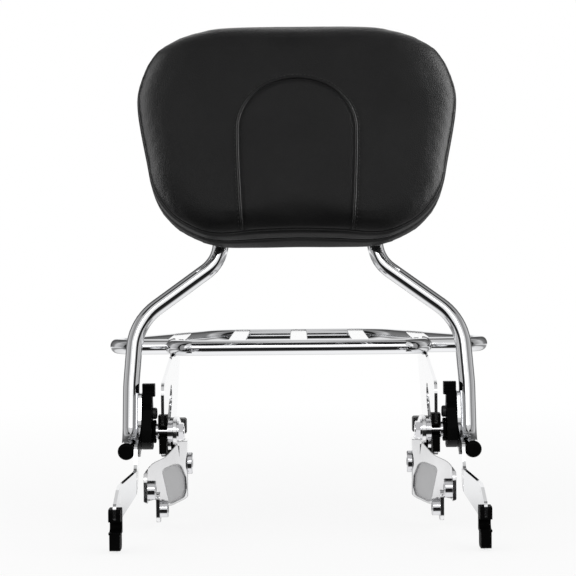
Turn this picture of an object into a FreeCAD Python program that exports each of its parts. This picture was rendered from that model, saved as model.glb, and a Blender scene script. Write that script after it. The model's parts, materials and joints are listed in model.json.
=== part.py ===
import FreeCAD, Part
import math
import os
from FreeCAD import Placement, Rotation, Vector

# Detachable passenger backrest with a luggage rack, and the two docking brackets that both clip on.
# All sizes are millimetres. While it is built, the origin is the middle of the line through the two
# front docking posts: +X is the viewer's right, -Y the way the pad faces, +Z up. The last step moves
# everything to the final origin, below the middle of the bounding box.

# Driving dimensions: tubes
TUBE_D = 16.0
TUBE_R = TUBE_D / 2
TUBE_WALL = 1.8
LEAN_DEG = 15.0

# Driving dimensions: upright
LEG_X = 163.5
LEG_Y = -8.0
FOOT_Z = -13.0
FOOT_FRONT_Y = -60.0
LEG_STRAIGHT_TOP = 46.0
SHOULDER_X = 159.5
SHOULDER_H = 109.0
NECK_X = 76.5
NECK_H = 171.0
ARCH_H = 345.0

# Driving dimensions: backrest pad, measured in its leaning plane
PAD_MIDDLE_H = 288.0
PAD_DEPTH = 50.0
BOARD_T = 6.0
STRAP_T = 4.0

# Driving dimensions: plates, docking posts and their fittings
PLATE_T = 3.0
SIDE_PLATE_X = 152.5
FORK_PLATE_X = 164.5
FORK_Y = -150.0
FORK_Z = -70.4
POST_R = 4.65
BUSHING_R = 7.0
NOTCH_R = 4.9
RACK_PLATE_X = 131.0
REAR_POST_Y = 103.0
REAR_POST_Z = -12.4
RAIL_X = 118.9
RAIL_T = 3.9
RAIL_END_Y = 135.0
LEVER_PIVOT_H = 17.6
LEVER_X = 142.6
LEVER_T = 9.6
RACK_LEVER_X = 134.3
RACK_LEVER_T = 7.6
RACK_PIVOT_H = 15.0
RACK_LATCH_TILT_DEG = 60.0

# Driving dimensions: luggage rack
RACK_Z = 72.9
RACK_FRONT_Y = 147.0
RACK_REAR_Y = 397.0
HOOP_X = 131.7
HOOP_END_Y = 190.0
WING_Y = 176.0
SLAT_SPACING = 66.0
SLAT_W = 19.0
SLAT_T = 4.0
SLAT_TOP = 79.5
CAP_T = 3.4

# Clearances
PIVOT_GAP = 0.05
WELD_GAP = 0.06


# Curves and simple solids

def corner_points(before, corner, after, radius):
    """Start, middle and end of the tangent arc that rounds one corner."""
    back = (before - corner).normalize()
    ahead = (after - corner).normalize()
    half_turn = (math.pi - back.getAngle(ahead)) / 2
    reach = radius * math.tan(half_turn)
    middle = (back + ahead).normalize() * (radius / math.cos(half_turn) - radius)
    return corner + back * reach, corner + middle, corner + ahead * reach


def rounded_wire(corners, closed=True):
    """Wire through corners, each a (Vector, radius) pair, with tangent arcs at the radii."""
    stretches = []
    count = len(corners)
    for index, (corner, radius) in enumerate(corners):
        is_end = not closed and index in (0, count - 1)
        if is_end or radius == 0:
            stretches.append((corner, corner, corner))
        else:
            before = corners[index - 1][0]
            after = corners[(index + 1) % count][0]
            stretches.append(corner_points(before, corner, after, radius))
    edges = []
    for index, (start, middle, end) in enumerate(stretches):
        if start != end:
            edges.append(Part.Arc(start, middle, end).toShape())
        if index < count - 1 or closed:
            following = stretches[(index + 1) % count][0]
            if (following - end).Length > 1e-6:
                edges.append(Part.LineSegment(end, following).toShape())
    return Part.Wire(edges)


def side_outline(points, x, thickness):
    """Plate parallel to the YZ plane, from (y, z, radius) corners."""
    wire = rounded_wire([(Vector(x, y, z), r) for y, z, r in points])
    return Part.Face(wire).extrude(Vector(thickness, 0, 0))


def front_outline(points, y, depth):
    """Block seen from the front, from (x, z, radius) corners."""
    wire = rounded_wire([(Vector(x, y, z), r) for x, z, r in points])
    return Part.Face(wire).extrude(Vector(0, depth, 0))


def box(x, y, z):
    """Box from three (low, high) pairs."""
    corner = Vector(x[0], y[0], z[0])
    return Part.makeBox(x[1] - x[0], y[1] - y[0], z[1] - z[0], corner)


def cross_rod(x_from, x_to, radius, y=0.0, z=0.0):
    """Cylinder along X."""
    return Part.makeCylinder(radius, x_to - x_from, Vector(x_from, y, z), Vector(1, 0, 0))


def hexagon(x_from, x_to, across_flats, y, z):
    """Hexagonal prism along X."""
    radius = across_flats / math.sqrt(3)
    corners = []
    for step in range(6):
        angle = math.radians(60 * step)
        corners.append((y + radius * math.cos(angle), z + radius * math.sin(angle), 0))
    return side_outline(corners, x_from, x_to - x_from)


def swept_rod(path, radius):
    """Solid round bar that follows a wire."""
    first = path.OrderedEdges[0]
    start = first.valueAt(first.FirstParameter)
    ring = Part.Circle(start, first.tangentAt(first.FirstParameter), radius).toShape()
    return path.makePipeShell([Part.Wire(ring)], True, False)


def tube_along(corners, bore_corners=None):
    """Round tube along rounded corners. The bore may have a shorter path, which leaves closed ends."""
    outside = swept_rod(rounded_wire(corners, closed=False), TUBE_R)
    bore_path = rounded_wire(bore_corners or corners, closed=False)
    return outside.cut(swept_rod(bore_path, TUBE_R - TUBE_WALL))


def round_edges(shape, axis, place):
    """Full circles of a shape whose centres lie at one place along an axis."""
    found = []
    for edge in shape.Edges:
        if isinstance(edge.Curve, Part.Circle) and abs(getattr(edge.Curve.Center, axis) - place) < 0.05:
            found.append(edge)
    return found


def largest(shape):
    """The biggest solid of a cut."""
    return max(shape.Solids, key=lambda solid: solid.Volume)


def mirrored(shape):
    """The same piece on the other side of the middle plane."""
    return shape.mirror(Vector(0, 0, 0), Vector(1, 0, 0))


def leaning(x, height, forward=0.0):
    """Point in the leaning plane of the upright: height along it, forward towards the viewer."""
    lean = math.radians(LEAN_DEG)
    y = LEG_Y + height * math.sin(lean) - forward * math.cos(lean)
    z = height * math.cos(lean) + forward * math.sin(lean)
    return Vector(x, y, z)


def lean_back(shape):
    """Move a shape built upright at the origin into the leaning plane."""
    shape.Placement = Placement(Vector(0, LEG_Y, 0), Rotation(Vector(1, 0, 0), -LEAN_DEG))
    return shape


# Upright

def upright_corners(trim=0.0):
    """Corners of the tube's centre line, from one foot over the arch to the other."""
    half = [
        (Vector(LEG_X, FOOT_FRONT_Y + trim, FOOT_Z), 0),
        (Vector(LEG_X, LEG_Y + FOOT_Z * math.tan(math.radians(LEAN_DEG)), FOOT_Z), 22),
        (leaning(LEG_X, LEG_STRAIGHT_TOP), 180),
        (leaning(SHOULDER_X, SHOULDER_H), 55),
        (leaning(NECK_X, NECK_H), 36),
        (leaning(NECK_X, ARCH_H), 60),
    ]
    other_half = [(Vector(-p.x, p.y, p.z), r) for p, r in reversed(half)]
    return half + other_half


def upright_tube():
    return tube_along(upright_corners())


def end_cap():
    """Rounded plastic cap whose plug sits in the open end of a foot."""
    face = Vector(LEG_X, FOOT_FRONT_Y, FOOT_Z)
    cap = Part.makeCylinder(TUBE_R, CAP_T, face, Vector(0, -1, 0))
    cap = cap.makeFillet(CAP_T * 0.8, round_edges(cap, "y", FOOT_FRONT_Y - CAP_T))
    plug = Part.makeCylinder(TUBE_R - TUBE_WALL - 0.1, 12, face, Vector(0, 1, 0))
    plug = plug.makeChamfer(0.8, round_edges(plug, "y", FOOT_FRONT_Y + 12))
    return cap.fuse(plug).removeSplitter()


FACE_LINE = [
    (0, 397.5), (69.5, 395.6), (93.4, 391.4), (116.1, 383.1), (138.8, 366.4), (155.1, 333), (157.1, 308),
    (147.9, 258.7), (139.8, 231), (120.4, 205.7), (96.1, 190.6), (76.7, 185.8), (40, 187.5), (0, 188.8),
]
BACK_LINE = [
    (0, 397), (69, 395), (93, 390.5), (115.5, 382), (138, 365), (154, 332), (156, 307),
    (147, 258), (139.5, 229), (128.5, 211), (109.5, 194), (79.4, 180.3), (40, 178.3), (0, 178.5),
]


def pad_outline(share, inset, forward):
    """Closed curve between the back's outline (share 0) and the face's (share 1), pulled in."""
    half = []
    for (back_x, back_h), (face_x, face_h) in zip(BACK_LINE, FACE_LINE):
        half.append((back_x + (face_x - back_x) * share, back_h + (face_h - back_h) * share))
    points = []
    for x, height in half + [(-x, h) for x, h in reversed(half[1:-1])]:
        reach = math.hypot(x, height - PAD_MIDDLE_H)
        shrink = (reach - inset) / reach
        points.append(Vector(x * shrink, -forward, PAD_MIDDLE_H + (height - PAD_MIDDLE_H) * shrink))
    curve = Part.BSplineCurve()
    curve.interpolate(points, PeriodicFlag=True)
    return Part.Wire(curve.toShape())


def pad_back():
    """Distance from the tube's axis to the back of the pad."""
    return TUBE_R + STRAP_T + BOARD_T


def pad_cushion():
    """Foam block in its cover: a band that widens downwards to the back, and a crowned face."""
    back = pad_back()
    layers = [
        (0, 3, 0), (0.1, 0, 6), (0.55, 0.5, 20), (1, 0, 33), (1, 3, 39), (1, 9, 44), (1, 19, 47.5),
        (1, 36, PAD_DEPTH),
    ]
    wires = [pad_outline(share, inset, back + forward) for share, inset, forward in layers]
    return lean_back(Part.makeLoft(wires, True, False))


def pad_board():
    """Moulded back panel of the pad, with a stepped edge."""
    front = pad_back()
    layers = [(11, front - BOARD_T), (9, front - BOARD_T + 1.5), (9, front)]
    wires = [pad_outline(0, inset, forward) for inset, forward in layers]
    board = Part.makeLoft(wires, True, True)
    return lean_back(board.cut(pad_screw_holes(2.6)))


STRAP_HEIGHTS = (228.0, 312.0)
STRAP_HALF = 84.0
STRAP_W = 26.0
PAD_SCREW_X = 48.0


def pad_screw_spots():
    return [(x, h) for h in STRAP_HEIGHTS for x in (-PAD_SCREW_X, PAD_SCREW_X)]


def pad_screw_holes(radius):
    """Four round cutters through the straps and the board."""
    length = STRAP_T + BOARD_T - 1.5
    rods = []
    for x, height in pad_screw_spots():
        rods.append(Part.makeCylinder(radius, length, Vector(x, -TUBE_R, height), Vector(0, -1, 0)))
    return Part.makeCompound(rods)


def pad_strap(height):
    """Flat steel bar across the front of the two tubes, with two screw holes."""
    low = height - STRAP_W / 2
    high = height + STRAP_W / 2
    corners = [(-STRAP_HALF, low, 6), (STRAP_HALF, low, 6), (STRAP_HALF, high, 6), (-STRAP_HALF, high, 6)]
    strap = front_outline(corners, -TUBE_R - STRAP_T, STRAP_T)
    return lean_back(strap.cut(pad_screw_holes(3.3)))


def pad_screws():
    """Four button-head screws that hold the pad's board to the straps."""
    screws = []
    for x, height in pad_screw_spots():
        shank = Part.makeCylinder(2.5, 9.8, Vector(x, -TUBE_R + 1.6, height), Vector(0, -1, 0))
        head = Part.makeCylinder(5.2, 3.2, Vector(x, -TUBE_R + 1.6, height), Vector(0, 1, 0))
        head = head.makeFillet(1.8, round_edges(head, "y", -TUBE_R + 4.8))
        socket = hex_socket(x, height, -TUBE_R + 4.8)
        screws.append(shank.fuse(head).cut(socket))
    return lean_back(Part.makeCompound(screws))


def hex_socket(x, height, y):
    """Cutter for a hexagonal socket in a screw head."""
    radius = 3.0 / math.sqrt(3) + 0.3
    corners = []
    for step in range(6):
        angle = math.radians(60 * step)
        corners.append((x + radius * math.cos(angle), height + radius * math.sin(angle), 0))
    return front_outline(corners, y - 2.0, 2.5)


def pad_washers():
    """Plain washers under the four screw heads."""
    washers = []
    for x, height in pad_screw_spots():
        disc = Part.makeCylinder(6.5, 1.5, Vector(x, -TUBE_R + 0.05, height), Vector(0, 1, 0))
        hole = Part.makeCylinder(2.8, 4, Vector(x, -TUBE_R - 1, height), Vector(0, 1, 0))
        washers.append(disc.cut(hole))
    return lean_back(Part.makeCompound(washers))


# Side plates of the upright

def joggled_sheet():
    """Sheet that stands on edge along Y and steps outwards ahead of the foot, seen from above."""
    inner = [
        (Vector(SIDE_PLATE_X, 60, -200), 0),
        (Vector(SIDE_PLATE_X, -78, -200), 14),
        (Vector(FORK_PLATE_X, -116, -200), 17),
        (Vector(FORK_PLATE_X, -240, -200), 0),
    ]
    outer = [
        (Vector(FORK_PLATE_X + PLATE_T, -240, -200), 0),
        (Vector(FORK_PLATE_X + PLATE_T, -115, -200), 14),
        (Vector(SIDE_PLATE_X + PLATE_T, -77, -200), 17),
        (Vector(SIDE_PLATE_X + PLATE_T, 60, -200), 0),
    ]
    return Part.Face(rounded_wire(inner + outer)).extrude(Vector(0, 0, 400))


def slot_cutter(x, radius, y, z, direction, reach=60.0):
    """Open round-ended slot through a plate: direction is the (y, z) way out of it."""
    end = cross_rod(x[0], x[1], radius, y, z)
    dy, dz = direction
    side = [(y - radius * dz, z + radius * dy, 0), (y + radius * dz, z - radius * dy, 0)]
    way = [(a + reach * dy, b + reach * dz, 0) for a, b, _ in reversed(side)]
    return end.fuse(side_outline(side + way, x[0], x[1] - x[0]))


def side_plate():
    """Plate welded inside the foot: a notch over the post behind, an arm down to the front fork."""
    outline = [
        (20, -15, 9), (20, 18, 12), (11, 38, 6), (-12, 38, 6), (-20, 8, 10), (-50, -3, 8), (-66, -7, 6),
        (-73, -29, 10), (-126, -41, 14), (FORK_Y - 7, -51, 5), (FORK_Y - 7, FORK_Z - 23, 4),
        (FORK_Y + 13, FORK_Z - 23, 7), (-112, -68, 22), (-66, -46, 26), (-22, -17, 14),
    ]
    flat = side_outline(outline, 140, 40)
    plate = joggled_sheet().common(flat)
    plate = plate.cut(slot_cutter((140, 160), BUSHING_R + 0.15, 0, 0, (0, -1)))
    plate = plate.cut(slot_cutter((140, 180), NOTCH_R + 2.1, FORK_Y, FORK_Z, (-1, 0)))
    plate = plate.cut(cross_rod(140, 160, 3.0, 0, LEVER_PIVOT_H))
    return largest(plate)


def notch_liner(x_middle, y, z, wide, plate):
    """Moulded clip round a fork's notch, slit by the plate it clips on."""
    narrow = wide - 1.4
    front = y - 10
    back = y + 12
    upper = [(front, z + 16, 3), (back, z + 16, 4), (back, z - 7, 1), (front, z - 7, 3)]
    lower = [(front + 0.6, z - 6, 0), (back, z - 6, 0), (back, z - 21.5, 5), (front + 0.6, z - 21.5, 3)]
    body = side_outline(upper, x_middle - wide / 2, wide)
    body = body.fuse(side_outline(lower, x_middle - narrow / 2, narrow))
    body = body.cut(slot_cutter((x_middle - 9, x_middle + 9), NOTCH_R, y, z, (-1, 0)))
    slit = PLATE_T / 2
    body = body.cut(box((x_middle - slit, x_middle + slit), (front - 1, y - 6), (z + 6.9, z + 20)))
    return largest(body.cut(plate))


# Quick-release latches

def lever_outline(pivot_h, clear_r, hook_r, tip_deg, handle):
    """Outline of a hook that turns about a pivot above the post. Angles start straight down."""

    def around_pivot(radius, degrees):
        angle = math.radians(degrees)
        return Vector(0, radius * math.sin(angle), pivot_h - radius * math.cos(angle))

    seat_r = pivot_h + clear_r
    boss_r = pivot_h - clear_r
    top_angle = 118
    front_angle = -42
    edges = [
        Part.Arc(around_pivot(hook_r, tip_deg), around_pivot(hook_r, -12),
                 around_pivot(hook_r, front_angle)).toShape(),
    ]
    run = [around_pivot(hook_r, front_angle)] + [Vector(0, y, z) for y, z in handle]
    run.append(around_pivot(boss_r, top_angle))
    for start, end in zip(run, run[1:]):
        edges.append(Part.LineSegment(start, end).toShape())
    edges.append(Part.Arc(around_pivot(boss_r, top_angle), around_pivot(boss_r, top_angle / 2),
                          around_pivot(boss_r, 0)).toShape())
    edges.append(Part.Arc(Vector(0, 0, clear_r), Vector(0, -clear_r, 0), Vector(0, 0, -clear_r)).toShape())
    edges.append(Part.Arc(around_pivot(seat_r, 0), around_pivot(seat_r, tip_deg / 2),
                          around_pivot(seat_r, tip_deg)).toShape())
    edges.append(Part.LineSegment(around_pivot(seat_r, tip_deg), around_pivot(hook_r, tip_deg)).toShape())
    return Part.Face(Part.Wire(edges))


def latch_lever():
    """Black hook under the post bushing, with a finger tab above its pivot."""
    handle = [(-22.5, 3), (-14, 22), (-6.5, 28), (-6.5, 45), (-5, 46.7), (4, 46.7), (5.5, 45), (5.5, 30)]
    face = lever_outline(LEVER_PIVOT_H, BUSHING_R + 0.4, 35.0, 19, handle)
    face.translate(Vector(LEVER_X, 0, 0))
    lever = face.extrude(Vector(LEVER_T, 0, 0))
    tab = side_outline([(-6.5, 34.2, 1), (-6.5, 46.7, 1.5), (5.5, 46.7, 1.5), (5.5, 34.2, 1)], 140.2, 5)
    grooves = [box((139, 153), (-7.2, -5.7), (z, z + 1.2)) for z in (36.5, 39.5, 42.5)]
    lever = lever.fuse(tab).cut(Part.makeCompound(grooves))
    hole = cross_rod(LEVER_X - 5, LEVER_X + LEVER_T + 5, 3.0 + PIVOT_GAP, 0, LEVER_PIVOT_H)
    spring_pocket = cross_rod(LEVER_X + LEVER_T - 4.6, LEVER_X + LEVER_T + 1, 7.2, 0, LEVER_PIVOT_H)
    return largest(lever.cut(hole).cut(spring_pocket).removeSplitter())


def torsion_spring(x_from, y, z, coil_r, wire_r, turns):
    """Torsion spring round a pivot along X, in the pocket of a lever."""
    pitch = wire_r * 2.15
    helix = Part.makeHelix(pitch, pitch * turns, coil_r)
    start = helix.Edges[0].valueAt(helix.Edges[0].FirstParameter)
    ring = Part.Wire(Part.Circle(start, Vector(0, 1, 0), wire_r).toShape())
    coil = Part.Wire(helix.Edges).makePipeShell([ring], True, True)
    coil.rotate(Vector(0, 0, 0), Vector(0, 1, 0), 90)
    coil.translate(Vector(x_from + wire_r, y, z))
    return coil


def pivot_screw(head_x, head_t, head_r, end_x, y, z):
    """Shoulder screw along X: a domed head at head_x and a shank that ends at end_x."""
    low, high = sorted((head_x, end_x))
    outward = 1 if end_x < head_x else -1
    shank = cross_rod(low, high, 3.0, y, z)
    head = Part.makeCylinder(head_r, head_t, Vector(head_x, y, z), Vector(outward, 0, 0))
    rim_x = head_x + outward * head_t
    head = head.makeFillet(head_t * 0.45, round_edges(head, "x", rim_x))
    socket_low = rim_x - 2.2 if outward > 0 else rim_x - 0.5
    socket = hexagon(socket_low, socket_low + 2.7, 4.0, y, z)
    return shank.fuse(head).cut(socket)


def rack_latch_lever():
    """Smaller hook that closes the rear notch from behind, with its finger tab pointing backwards."""
    handle = [(-17, 4), (-12.5, 18), (-9, 27), (-9, 41), (-7.5, 42.5), (-4, 42.5), (-2.5, 41), (-2.5, 30)]
    face = lever_outline(RACK_PIVOT_H, POST_R + 0.35, 33.0, 21, handle)
    face.translate(Vector(RACK_LEVER_X, 0, 0))
    lever = face.extrude(Vector(RACK_LEVER_T, 0, 0))
    hole = cross_rod(RACK_LEVER_X - 5, RACK_LEVER_X + 15, 3.0 + PIVOT_GAP, 0, RACK_PIVOT_H)
    spring_pocket = cross_rod(RACK_LEVER_X - 1, RACK_LEVER_X + 3.4, 5.8, 0, RACK_PIVOT_H)
    lever = largest(lever.cut(hole).cut(spring_pocket))
    lever = lever.mirror(Vector(0, 0, 0), Vector(0, 1, 0))
    lever.rotate(Vector(0, 0, 0), Vector(1, 0, 0), -RACK_LATCH_TILT_DEG)
    lever.translate(Vector(0, REAR_POST_Y, REAR_POST_Z))
    return lever


def rack_pivot():
    """Place of the rack latch's pivot, behind and above its post."""
    tilt = math.radians(RACK_LATCH_TILT_DEG)
    y = REAR_POST_Y + RACK_PIVOT_H * math.sin(tilt)
    return y, REAR_POST_Z + RACK_PIVOT_H * math.cos(tilt)


# Docking brackets

NUT_SPOTS = [
    {"face_x": 145.4, "y": -30.0, "z": -53.3, "radius": 9.0, "length": 7.6},
    {"face_x": 136.0, "y": 2.0, "z": -76.0, "radius": 8.1, "length": 7.8},
    {"face_x": 111.9, "y": 56.0, "z": -37.4, "radius": 10.8, "length": 4.8},
]
STUD_HOLE_R = 4.0
WEB_T = 3.6
WEB_FRONT_X = 145.4
WEB_REAR_X = 111.9
WEB_FRONT_Y = -18.5
WEB_REAR_Y = 44.9


def web_plan(depth_low, depth_high):
    """Standing sheet from ear to ear, seen from above, between two depths behind its visible side."""
    run = Vector(WEB_REAR_X - WEB_FRONT_X, WEB_REAR_Y - WEB_FRONT_Y, 0)
    slant = run.Length / run.y
    slope = run.y / run.x

    def side(depth):
        front_x = WEB_FRONT_X + depth
        rear_x = WEB_REAR_X + depth
        slip = (depth - depth * slant) * slope
        front_y = WEB_FRONT_Y + slip
        rear_y = WEB_REAR_Y + slip
        return [
            (Vector(front_x, -42, -120), 0), (Vector(front_x, front_y, -120), 8 + depth),
            (Vector(rear_x, rear_y, -120), 13 - depth), (Vector(rear_x, 67, -120), 0),
        ]

    return Part.Face(rounded_wire(side(depth_low) + side(depth_high)[::-1])).extrude(Vector(0, 0, 130))


def bracket_web():
    """Slanted cast wall: S-shaped top, raised rim, sunk panel, and an ear at each end."""
    front_view = [
        (108, -15, 0), (118.5, -13, 2), (122.6, -17.2, 4), (131, -26, 16), (142.5, -29.5, 12),
        (150.5, -38, 14), (150.5, -68, 6), (141.5, -64.5, 5), (127.7, -75.3, 5), (112, -71, 9), (108, -62, 6),
    ]
    side_view = [
        (-42, -37, 12), (-12, -24, 6), (20, -8, 0), (68, -8, 12), (68, -76, 16), (30, -80, 6), (-42, -70, 12),
    ]
    wall = web_plan(0, WEB_T).common(front_outline(front_view, -60, 150))
    wall = wall.common(side_outline(side_view, 100, 60))
    panel = [
        (134.6, -37.5, 4), (118.8, -33.5, 7), (113.4, -50, 12), (112.8, -62, 5), (115, -69.5, 4),
        (128.2, -73.4, 3),
    ]
    left_face = [
        (144, -38, 4), (139.6, -36, 2), (131.4, -66.8, 1.5), (132.6, -69.4, 1.5), (140, -63.8, 3), (144, -62, 3),
    ]
    wall = wall.cut(web_plan(-5, 0.8).common(front_outline(left_face, -17, 60)))
    return wall.cut(web_plan(-5, 1.9).common(front_outline(panel, -10, 60)))


def docking_bracket():
    """One casting: rail for the two posts, slanted web below it, and ears for its three bolts."""
    top = REAR_POST_Z + 12
    rail_outline = [
        (-12, 12, 11.5), (30, 12, 30), (REAR_POST_Y - 25, top, 40), (RAIL_END_Y, top, 11.5),
        (RAIL_END_Y, REAR_POST_Z - 12, 11.5), (54, -22, 20), (48, -36, 6), (33, -36, 4), (29, -14, 6),
        (-12, -12, 11.5),
    ]
    rail = side_outline(rail_outline, RAIL_X, RAIL_T)
    front, low, inboard = NUT_SPOTS
    low_ear = side_outline([(-11, -58, 6), (16, -62, 6), (13, -88.5, 9), (-9, -88.5, 9)], low["face_x"], WEB_T)
    bracket = bracket_web().fuse([rail, low_ear])
    holes = [
        cross_rod(front["face_x"] - 1, 155, STUD_HOLE_R, front["y"], front["z"]),
        cross_rod(low["face_x"] - 1, low["face_x"] + WEB_T + 0.5, STUD_HOLE_R, low["y"], low["z"]),
        cross_rod(inboard["face_x"] - 1, inboard["face_x"] + 5, STUD_HOLE_R, inboard["y"], inboard["z"]),
        cross_rod(RAIL_X - 3, RAIL_X + RAIL_T + 1, 5.05, 0, 0),
        cross_rod(RAIL_X - 3, RAIL_X + RAIL_T + 1, 5.05, REAR_POST_Y, REAR_POST_Z),
        cross_rod(RAIL_X - 12, RAIL_X, 10.5, 0, 0),
        cross_rod(low["face_x"] - 12, low["face_x"], low["radius"] + 0.8, low["y"], low["z"]),
    ]
    return largest(bracket.cut(Part.makeCompound(holes)).removeSplitter())


def bracket_nuts():
    """Round threaded bosses of the three bolts that hold the bracket to the motorbike."""
    nuts = []
    for spot in NUT_SPOTS:
        low = spot["face_x"] - spot["length"]
        nut = cross_rod(low, spot["face_x"], spot["radius"], spot["y"], spot["z"])
        nut = nut.makeChamfer(1.0, round_edges(nut, "x", low))
        nuts.append(nut.cut(cross_rod(low - 1, spot["face_x"] + 1, STUD_HOLE_R, spot["y"], spot["z"])))
    return Part.makeCompound(nuts)


def front_post():
    """Turned post: threaded stub through the rail, collar, shank with a flange between the two clips."""
    rail_face = RAIL_X + RAIL_T
    post = cross_rod(112.0, rail_face, 5.0)
    post = post.fuse([
        cross_rod(rail_face, 127.9, 10.0),
        cross_rod(127.9, 154.8, POST_R),
        cross_rod(137.3, 139.1, 8.0),
    ])
    return post.removeSplitter()


def rear_post():
    """Turned post of the rack's latch, riveted into the rail."""
    rail_face = RAIL_X + RAIL_T
    post = cross_rod(RAIL_X, rail_face, 5.0)
    post = post.fuse([
        cross_rod(RAIL_X - 1.2, RAIL_X, 6.8),
        cross_rod(rail_face, 127.0, 9.0),
        cross_rod(127.0, 144.5, POST_R),
        cross_rod(142.6, 144.5, 8.0),
    ])
    post.translate(Vector(0, REAR_POST_Y, REAR_POST_Z))
    return post.removeSplitter()


def front_post_nut():
    """Flanged hexagon nut on the inboard side of the rail."""
    flange = cross_rod(RAIL_X - 1.8, RAIL_X, 10.0)
    hexagonal = hexagon(RAIL_X - 6.3, RAIL_X - 1.8, 15.0, 0, 0)
    bore = cross_rod(RAIL_X - 9, RAIL_X + 1, 5.06)
    return flange.fuse(hexagonal).cut(bore)


def post_bushing():
    """Nylon bushing on the outer end of the front post: wide flange and a hub for the notch."""
    flange = cross_rod(139.25, 142.1, 11.3)
    rims = [e for e in flange.Edges if isinstance(e.Curve, Part.Circle)]
    flange = flange.makeFillet(0.8, rims)
    hub = cross_rod(142.0, 155.2, BUSHING_R)
    return flange.fuse(hub).cut(cross_rod(138, 157, POST_R + 0.05)).removeSplitter()


# Luggage rack

def hoop_corners(end_y):
    return [
        (Vector(HOOP_X, end_y, RACK_Z), 0), (Vector(HOOP_X, RACK_FRONT_Y, RACK_Z), 20),
        (Vector(-HOOP_X, RACK_FRONT_Y, RACK_Z), 20), (Vector(-HOOP_X, end_y, RACK_Z), 0),
    ]


def rack_front_hoop():
    """Front tube of the rack, whose ends turn back between the legs of the upright."""
    return tube_along(hoop_corners(HOOP_END_Y), hoop_corners(HOOP_END_Y - 3))


def loop_corners(start_x):
    return [
        (Vector(start_x, WING_Y, RACK_Z), 0), (Vector(213, WING_Y, RACK_Z), 28),
        (Vector(97, RACK_REAR_Y, RACK_Z), 58), (Vector(-97, RACK_REAR_Y, RACK_Z), 58),
        (Vector(-213, WING_Y, RACK_Z), 28), (Vector(-start_x, WING_Y, RACK_Z), 0),
    ]


def rack_outer_loop():
    """Wide tube round the sides and the back, coped onto the hoop's ends."""
    loop = tube_along(loop_corners(HOOP_X), loop_corners(HOOP_X + TUBE_R + 4))
    for side in (-1, 1):
        cope = Part.makeCylinder(
            TUBE_R + WELD_GAP, 60, Vector(side * HOOP_X, WING_Y - 30, RACK_Z), Vector(0, 1, 0))
        loop = largest(loop.cut(cope))
    return loop


def rack_slat(x, start_y, tubes):
    """Flat bar with rounded edges, fitted between the tubes."""
    half = SLAT_W / 2
    low = SLAT_TOP - SLAT_T
    corners = [(x - half, low, 1.2), (x + half, low, 1.2), (x + half, SLAT_TOP, 1.6), (x - half, SLAT_TOP, 1.6)]
    bar = front_outline(corners, start_y, RACK_REAR_Y - 3 - start_y)
    return largest(bar.cut(tubes))


def slat_cutters():
    """Solid bars slightly fatter than the rack's tubes, for the coped ends of the slats."""
    hoop = swept_rod(rounded_wire(hoop_corners(HOOP_END_Y), closed=False), TUBE_R + WELD_GAP)
    loop = swept_rod(rounded_wire(loop_corners(HOOP_X), closed=False), TUBE_R + WELD_GAP)
    return [hoop, loop]


def rack_side_plate():
    """Plate below the rack: a fork on the front post, a leg with a notch over the rear post."""
    underside = RACK_Z - TUBE_R
    slat_low = SLAT_TOP - SLAT_T
    y = REAR_POST_Y
    z = REAR_POST_Z
    outline = [
        (-7, -23, 4), (-7, 46, 12), (124, underside, 10), (HOOP_END_Y + 0.1, underside, 0),
        (HOOP_END_Y + 0.1, slat_low, 0), (257, slat_low, 4), (255, 57, 12), (184, -2, 26),
        (y + 24, z - 16, 12), (y - 13, z - 16, 7), (y - 22, 0, 14), (137, 37, 11), (96, 38, 14),
        (48, 14, 20), (30, -10, 18), (16, -23, 6),
    ]
    plate = side_outline(outline, RACK_PLATE_X, PLATE_T)
    plate = plate.cut(slot_cutter((125, 140), NOTCH_R + 2.1, 0, 0, (-1, 0)))
    plate = plate.cut(slot_cutter((125, 140), NOTCH_R + 2.1, y, z, (0, -1)))
    pivot_y, pivot_z = rack_pivot()
    return largest(plate.cut(cross_rod(125, 140, 3.0, pivot_y, pivot_z)))


def rack_rear_liner(plate):
    """Moulded lining of the rear notch, which opens downwards: a cheek inboard of the plate."""
    inboard = 127.6
    outboard = RACK_PLATE_X + PLATE_T - 0.1
    y = REAR_POST_Y
    z = REAR_POST_Z
    cheek = [(y - 11, z + 12, 6), (y + 11, z + 12, 6), (y + 11, z - 21, 3), (y - 11, z - 21, 3)]
    lining = [(y - 6.9, z + 6.9, 4), (y + 6.9, z + 6.9, 4), (y + 6.9, z - 21, 1), (y - 6.9, z - 21, 1)]
    liner = side_outline(cheek, inboard, RACK_PLATE_X - inboard - 0.02)
    liner = liner.fuse(side_outline(lining, inboard + 1, outboard - inboard - 1))
    liner = liner.cut(slot_cutter((120, 140), NOTCH_R, y, z, (0, -1)))
    return largest(liner.cut(plate).removeSplitter())


def rack_guide():
    """Coated steel lip on the rack plate: reaches over the bracket's rail and down its inboard side."""
    lip_x = RAIL_X - 1.9
    top = REAR_POST_Z + 14
    bend = [
        (lip_x, -13.2, 0), (lip_x + 1.6, -13.2, 0), (lip_x + 1.6, top - 1.6, 0.8), (RACK_PLATE_X - 0.03, top - 1.6, 0),
        (RACK_PLATE_X - 0.03, top, 0), (lip_x, top, 2.4),
    ]
    return front_outline(bend, RAIL_END_Y - 23, 20)


# Assembly

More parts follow.
